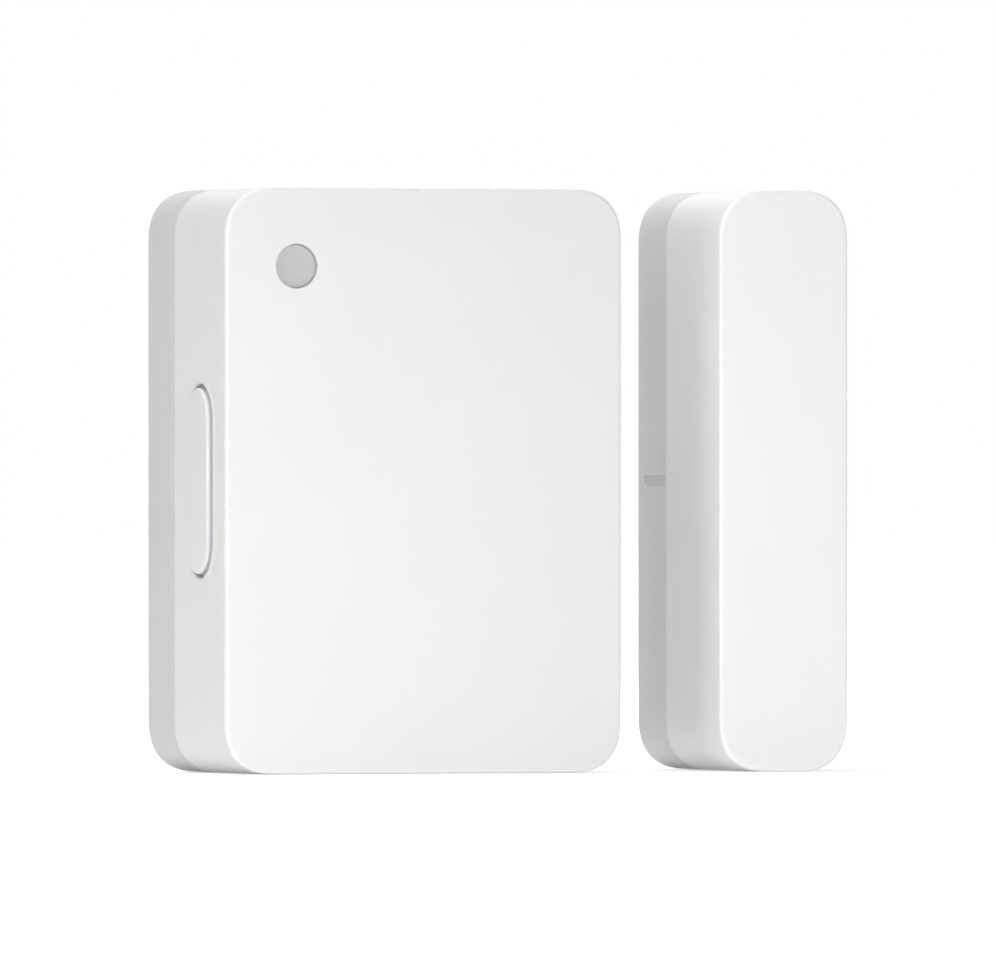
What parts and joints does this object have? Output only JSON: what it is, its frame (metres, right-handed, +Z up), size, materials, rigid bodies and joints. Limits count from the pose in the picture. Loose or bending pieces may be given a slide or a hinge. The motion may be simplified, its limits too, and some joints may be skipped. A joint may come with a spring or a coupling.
{
  "type": "door contact sensor",
  "caption": "Two-piece surface-mounted magnetic contact: a rounded sensor box with an indicator window and a side push button, beside a slim magnet unit of the same height and depth.",
  "frame": {"origin": "centre of the sensor's adhesive face, on the wall plane", "axes": "+Z up, +X from the sensor towards the magnet, +Y into the wall; the fronts face -Y"},
  "size_m": [0.0539, 0.0189, 0.047],
  "materials": {
    "shell_white": "fine-textured moulded plastic",
    "shell_rear": "fine-textured moulded plastic, slightly greyer",
    "button_white": "satin moulded plastic",
    "window_grey": "frosted translucent light guide",
    "sleeve_black": "matte",
    "foam_tape": "acrylic foam tape, matte",
    "pcb_green": "solder mask over glass-epoxy laminate",
    "chip_black": "moulded epoxy",
    "led_clear": "clear encapsulant",
    "holder_black": "glass-filled nylon",
    "plated_steel": "nickel plated",
    "spring_gold": "gold-flashed spring bronze",
    "reed_glass": "clear greenish glass",
    "ceramic_tan": "unglazed",
    "antenna_white": "unglazed with plated ends",
    "tantalum_yellow": "moulded epoxy",
    "gasket_blue": "satin polypropylene",
    "cradle_white": "satin",
    "magnet_nickel": "nickel-plated sintered magnet",
    "foam_grey": "soft open-cell foam"
  },
  "bodies": {
    "sensor_base": {"sensor_adhesive_pad": "foam_tape", "sensor_rear_cover": "shell_rear"},
    "sensor_unit": {"sensor_front_cover": "shell_white", "window_lens": "window_grey", "light_sleeve": "sleeve_black", "main_pcb": "pcb_green", "pcb_screw_1": "plated_steel", "pcb_screw_2": "plated_steel", "status_led": "led_clear", "light_sensor": "led_clear", "wireless_soc": "chip_black", "crystal_oscillator": "plated_steel", "chip_antenna": "antenna_white", "tantalum_capacitor": "tantalum_yellow", "ceramic_capacitor_1": "ceramic_tan", "ceramic_capacitor_2": "ceramic_tan", "antenna_inductor": "chip_black", "pull_up_resistor": "chip_black", "tact_switch_body": "chip_black", "tact_switch_bracket": "plated_steel", "reed_switch_glass": "reed_glass", "reed_blade_upper": "plated_steel", "reed_blade_lower": "plated_steel", "battery_holder": "holder_black", "battery_positive_clip": "plated_steel", "battery_negative_spring": "spring_gold"},
    "side_button": {"side_button": "button_white"},
    "switch_plunger": {"switch_plunger": "button_white"},
    "coin_cell": {"coin_cell_can": "plated_steel", "coin_cell_gasket": "gasket_blue", "coin_cell_cap": "plated_steel"},
    "magnet_base": {"magnet_adhesive_pad": "foam_tape", "magnet_rear_cover": "shell_rear"},
    "magnet_unit": {"magnet_front_cover": "shell_white", "magnet_cradle": "cradle_white", "bar_magnet": "magnet_nickel", "magnet_foam_strip": "foam_grey"}
  },
  "joints": [
    {"name": "sensor_cover_off", "type": "slide", "parent": "sensor_base", "child": "sensor_unit", "axis": [0, -1, 0], "range_m": [0, 0.03]},
    {"name": "button_press", "type": "slide", "parent": "sensor_unit", "child": "side_button", "axis": [1, 0, 0], "range_m": [0, 0.0003], "stiffness_N_per_m": 1000},
    {"name": "plunger_press", "type": "slide", "parent": "sensor_unit", "child": "switch_plunger", "axis": [1, 0, 0], "range_m": [0, 0.0003]},
    {"name": "coin_cell_out", "type": "slide", "parent": "sensor_unit", "child": "coin_cell", "axis": [0, 1, 0], "range_m": [0, 0.012]},
    {"name": "door_opening", "type": "slide", "parent": "sensor_base", "child": "magnet_base", "axis": [1, 0, 0], "range_m": [0, 0.04]},
    {"name": "magnet_cover_off", "type": "slide", "parent": "magnet_base", "child": "magnet_unit", "axis": [0, -1, 0], "range_m": [0, 0.025]}
  ],
  "couplings": [
    {"joint": "plunger_press", "follows": "button_press", "ratio": 1},
    {"joint": "coin_cell_out", "follows": "sensor_cover_off", "ratio": 0.4}
  ]
}
